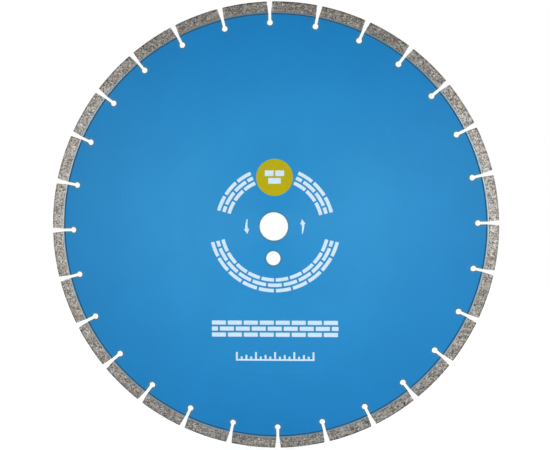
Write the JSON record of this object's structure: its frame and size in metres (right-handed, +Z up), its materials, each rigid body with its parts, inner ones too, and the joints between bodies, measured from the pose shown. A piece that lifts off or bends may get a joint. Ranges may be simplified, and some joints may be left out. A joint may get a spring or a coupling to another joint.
{
  "type": "diamond saw blade",
  "caption": "Segmented diamond saw blade for cutting concrete, with a painted steel core, keyhole slots, welded sintered segments, an arbor bore and a drive pin hole.",
  "frame": {"origin": "centre of the arbor bore, halfway through the core's thickness", "axes": "+Y along the arbor bore, away from the printed face and towards the saw; the blade stands upright in the XZ plane, with +Z up as its print reads and the drive pin hole straight below the bore, and the printed face looks towards -Y"},
  "size_m": [0.4, 0.0036, 0.4],
  "materials": {
    "core_paint": "satin blue enamel with fine orange peel",
    "diamond_matrix": "rough sintered metal with open pores and grit",
    "foot_metal": "ground sintered metal without grit",
    "weld_metal": "dark rippled laser weld",
    "white_print": "screen printed ink",
    "yellow_print": "screen printed ink"
  },
  "bodies": {
    "root": {"steel_core": "core_paint", "diamond_segment_01": "diamond_matrix", "diamond_segment_02": "diamond_matrix", "diamond_segment_03": "diamond_matrix", "diamond_segment_04": "diamond_matrix", "diamond_segment_05": "diamond_matrix", "diamond_segment_06": "diamond_matrix", "diamond_segment_07": "diamond_matrix", "diamond_segment_08": "diamond_matrix", "diamond_segment_09": "diamond_matrix", "diamond_segment_10": "diamond_matrix", "diamond_segment_11": "diamond_matrix", "diamond_segment_12": "diamond_matrix", "diamond_segment_13": "diamond_matrix", "diamond_segment_14": "diamond_matrix", "diamond_segment_15": "diamond_matrix", "diamond_segment_16": "diamond_matrix", "diamond_segment_17": "diamond_matrix", "diamond_segment_18": "diamond_matrix", "diamond_segment_19": "diamond_matrix", "diamond_segment_20": "diamond_matrix", "diamond_segment_21": "diamond_matrix", "diamond_segment_22": "diamond_matrix", "diamond_segment_23": "diamond_matrix", "diamond_segment_24": "diamond_matrix", "diamond_segment_25": "diamond_matrix", "diamond_segment_26": "diamond_matrix", "diamond_segment_27": "diamond_matrix", "diamond_segment_28": "diamond_matrix", "segment_foot_01": "foot_metal", "segment_foot_02": "foot_metal", "segment_foot_03": "foot_metal", "segment_foot_04": "foot_metal", "segment_foot_05": "foot_metal", "segment_foot_06": "foot_metal", "segment_foot_07": "foot_metal", "segment_foot_08": "foot_metal", "segment_foot_09": "foot_metal", "segment_foot_10": "foot_metal", "segment_foot_11": "foot_metal", "segment_foot_12": "foot_metal", "segment_foot_13": "foot_metal", "segment_foot_14": "foot_metal", "segment_foot_15": "foot_metal", "segment_foot_16": "foot_metal", "segment_foot_17": "foot_metal", "segment_foot_18": "foot_metal", "segment_foot_19": "foot_metal", "segment_foot_20": "foot_metal", "segment_foot_21": "foot_metal", "segment_foot_22": "foot_metal", "segment_foot_23": "foot_metal", "segment_foot_24": "foot_metal", "segment_foot_25": "foot_metal", "segment_foot_26": "foot_metal", "segment_foot_27": "foot_metal", "segment_foot_28": "foot_metal", "weld_seams_front": "weld_metal", "weld_seams_back": "weld_metal"}
  },
  "joints": []
}
